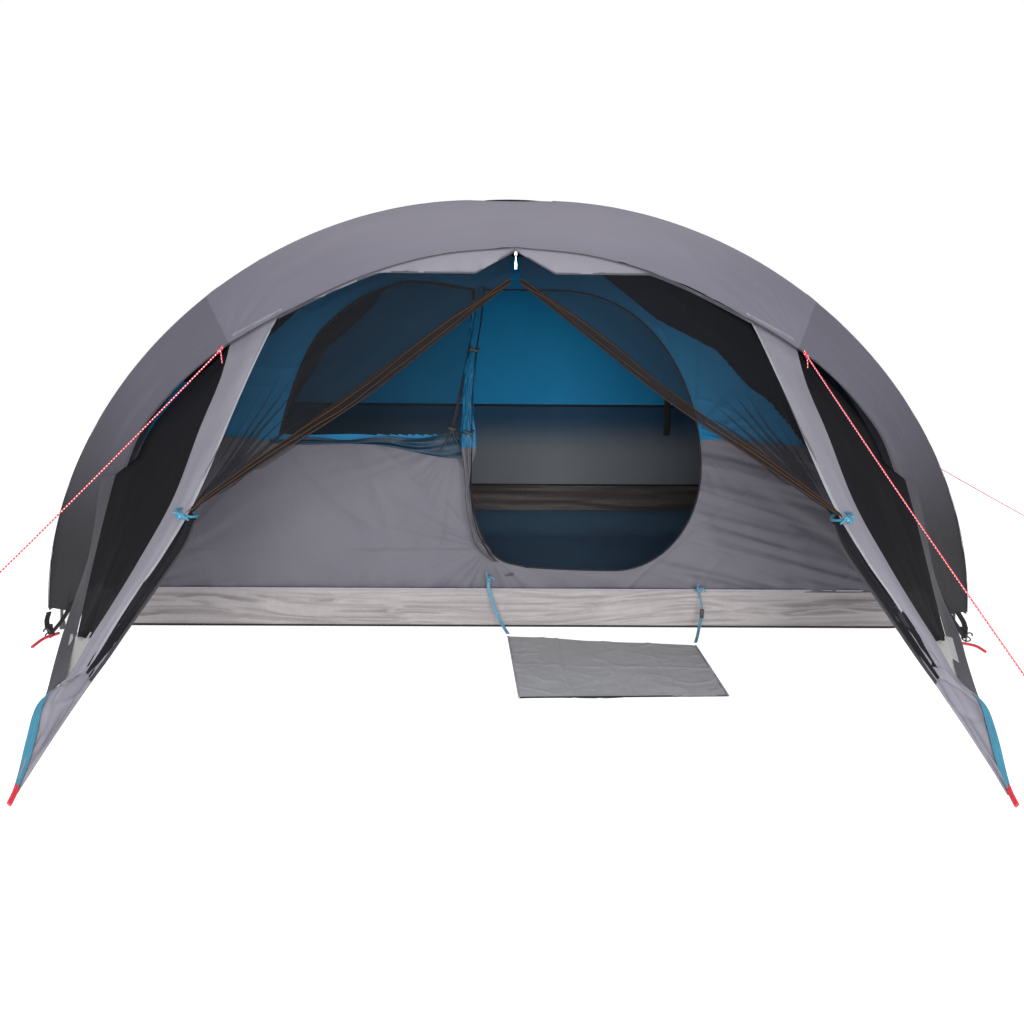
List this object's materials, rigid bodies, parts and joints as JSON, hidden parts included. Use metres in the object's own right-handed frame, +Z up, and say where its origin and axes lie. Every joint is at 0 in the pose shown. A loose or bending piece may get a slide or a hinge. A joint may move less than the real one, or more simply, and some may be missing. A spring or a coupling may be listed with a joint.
{
  "type": "pop up tent",
  "caption": "Pop up dome tent: arched fly with a front brim, meshed porch tied back, inner cabin with a D door, and a folding hub and pole frame.",
  "frame": {"origin": "on the ground under the middle of the tent's bounding box, leaving out the guy lines", "axes": "+Z up, -Y out of the porch, +X to the right as seen from in front"},
  "size_m": [5.3332, 3.6214, 1.825],
  "materials": {
    "fly_grey": "matte",
    "trim_grey": "matte",
    "mesh_black": "matte",
    "cabin_blue": "matte",
    "cabin_grey": "matte",
    "tub_beige": "matte",
    "web_black": "matte",
    "tie_blue": "matte",
    "guy_red": "matte",
    "pole_grey": "satin",
    "hub_black": "satin",
    "peg_steel": "satin",
    "mat_grey": "matte"
  },
  "bodies": {
    "tent": {"cabin_door_roll": "cabin_blue", "cabin_floor_tub": "tub_beige", "cabin_front_lower": "cabin_grey", "cabin_front_upper": "cabin_blue", "cabin_hanging_strap": "web_black", "cabin_rear_lower": "cabin_grey", "cabin_rear_upper": "cabin_blue", "cabin_roll_toggle": "web_black", "cabin_side_left": "cabin_blue", "cabin_side_right": "cabin_blue", "cabin_window_mesh": "mesh_black", "corner_webbing_left": "web_black", "corner_webbing_right": "web_black", "door_mat": "mat_grey", "fly_brim": "fly_grey", "fly_crown_patch": "fly_grey", "fly_rear": "fly_grey", "fly_side_left": "fly_grey", "fly_side_right": "fly_grey", "fly_wing_left": "fly_grey", "fly_wing_right": "fly_grey", "foot_peg_left": "peg_steel", "foot_peg_right": "peg_steel", "guy_line_front_left": "guy_red", "guy_line_front_right": "guy_red", "guy_line_rear_right": "guy_red", "mat_strap_left": "tie_blue", "mat_strap_right": "tie_blue", "porch_corner_strip_left": "trim_grey", "porch_corner_strip_right": "trim_grey", "porch_corner_tab_left": "tie_blue", "porch_corner_tab_right": "tie_blue", "porch_door_tie_left": "tie_blue", "porch_door_tie_right": "tie_blue", "porch_header": "trim_grey", "porch_mesh_door_left": "mesh_black", "porch_mesh_door_right": "mesh_black", "porch_peg_loop_left": "guy_red", "porch_peg_loop_right": "guy_red", "porch_rear_strip_left": "trim_grey", "porch_rear_strip_right": "trim_grey", "porch_side_mesh_left": "mesh_black", "porch_side_mesh_right": "mesh_black"},
    "upper_leg_front_right": {"upper_pole_front_right": "pole_grey", "elbow_front_right": "hub_black"},
    "lower_leg_front_right": {"lower_pole_front_right": "pole_grey"},
    "upper_leg_front_left": {"upper_pole_front_left": "pole_grey", "elbow_front_left": "hub_black"},
    "lower_leg_front_left": {"lower_pole_front_left": "pole_grey"},
    "upper_leg_rear_right": {"upper_pole_rear_right": "pole_grey", "elbow_rear_right": "hub_black"},
    "lower_leg_rear_right": {"lower_pole_rear_right": "pole_grey"},
    "upper_leg_rear_left": {"upper_pole_rear_left": "pole_grey", "elbow_rear_left": "hub_black"},
    "lower_leg_rear_left": {"lower_pole_rear_left": "pole_grey"},
    "hub": {"hub_body": "hub_black"},
    "hub_ring": {"hub_release_ring": "guy_red"},
    "zip_slider": {"porch_zip_slider": "peg_steel"},
    "zip_pull": {"porch_zip_pull": "peg_steel"},
    "door_slider": {"cabin_door_zip_slider": "peg_steel"}
  },
  "joints": [
    {"name": "hub_drop", "type": "slide", "parent": "tent", "child": "hub", "axis": [0, 0, -1], "range_m": [0, 1.66], "deforming": ["cabin_door_roll", "cabin_floor_tub", "cabin_front_lower", "cabin_front_upper", "cabin_hanging_strap", "cabin_rear_lower", "cabin_rear_upper", "cabin_roll_toggle", "cabin_side_left", "cabin_side_right", "cabin_window_mesh", "fly_brim", "fly_crown_patch", "fly_rear", "fly_side_left", "fly_side_right", "fly_wing_left", "fly_wing_right", "mat_strap_left", "mat_strap_right", "porch_corner_strip_left", "porch_corner_strip_right", "porch_door_tie_left", "porch_door_tie_right", "porch_header", "porch_mesh_door_left", "porch_mesh_door_right", "porch_rear_strip_left", "porch_rear_strip_right", "porch_side_mesh_left", "porch_side_mesh_right"]},
    {"name": "hub_hinge_front_right", "type": "hinge", "parent": "hub", "child": "upper_leg_front_right", "pos_m": [0.04818, 0.66146, 1.772], "axis": [-0.5096, -0.8604, 0], "range_deg": [0, 20]},
    {"name": "elbow_hinge_front_right", "type": "hinge", "parent": "upper_leg_front_right", "child": "lower_leg_front_right", "pos_m": [1.2834, -0.07014, 1.25299], "axis": [-0.5096, -0.8604, 0], "range_deg": [0, 43]},
    {"name": "hub_hinge_front_left", "type": "hinge", "parent": "hub", "child": "upper_leg_front_left", "pos_m": [-0.04818, 0.66146, 1.772], "axis": [-0.5096, 0.8604, 0], "range_deg": [0, 20]},
    {"name": "elbow_hinge_front_left", "type": "hinge", "parent": "upper_leg_front_left", "child": "lower_leg_front_left", "pos_m": [-1.2834, -0.07014, 1.25299], "axis": [-0.5096, 0.8604, 0], "range_deg": [0, 43]},
    {"name": "hub_hinge_rear_right", "type": "hinge", "parent": "hub", "child": "upper_leg_rear_right", "pos_m": [0.04818, 0.71854, 1.772], "axis": [0.5096, -0.8604, 0], "range_deg": [0, 20]},
    {"name": "elbow_hinge_rear_right", "type": "hinge", "parent": "upper_leg_rear_right", "child": "lower_leg_rear_right", "pos_m": [1.2834, 1.45014, 1.25299], "axis": [0.5096, -0.8604, 0], "range_deg": [0, 43]},
    {"name": "hub_hinge_rear_left", "type": "hinge", "parent": "hub", "child": "upper_leg_rear_left", "pos_m": [-0.04818, 0.71854, 1.772], "axis": [0.5096, 0.8604, 0], "range_deg": [0, 20]},
    {"name": "elbow_hinge_rear_left", "type": "hinge", "parent": "upper_leg_rear_left", "child": "lower_leg_rear_left", "pos_m": [-1.2834, 1.45014, 1.25299], "axis": [0.5096, 0.8604, 0], "range_deg": [0, 43]},
    {"name": "hub_release_pull", "type": "slide", "parent": "hub", "child": "hub_ring", "axis": [0, 0, -1], "range_m": [0, 0.02], "stiffness_N_per_m": 400},
    {"name": "zip_slider_sink", "type": "slide", "parent": "tent", "child": "zip_slider", "axis": [0, 0, -1], "range_m": [0, 1.217]},
    {"name": "porch_zip_pull_swing", "type": "hinge", "parent": "zip_slider", "child": "zip_pull", "pos_m": [0, -0.78, 1.437], "axis": [1, 0, 0], "range_deg": [-70, 0]},
    {"name": "door_zip_run", "type": "slide", "parent": "tent", "child": "door_slider", "axis": [1, 0, 0], "range_m": [0, 0.38]}
  ],
  "couplings": [
    {"joint": "hub_hinge_front_right", "follows": "hub_drop", "rad_per_m": 0.21026},
    {"joint": "elbow_hinge_front_right", "follows": "hub_drop", "rad_per_m": 0.45206},
    {"joint": "hub_hinge_front_left", "follows": "hub_drop", "rad_per_m": 0.21026},
    {"joint": "elbow_hinge_front_left", "follows": "hub_drop", "rad_per_m": 0.45206},
    {"joint": "hub_hinge_rear_right", "follows": "hub_drop", "rad_per_m": 0.21026},
    {"joint": "elbow_hinge_rear_right", "follows": "hub_drop", "rad_per_m": 0.45206},
    {"joint": "hub_hinge_rear_left", "follows": "hub_drop", "rad_per_m": 0.21026},
    {"joint": "elbow_hinge_rear_left", "follows": "hub_drop", "rad_per_m": 0.45206},
    {"joint": "zip_slider_sink", "follows": "hub_drop", "ratio": 0.73306}
  ]
}
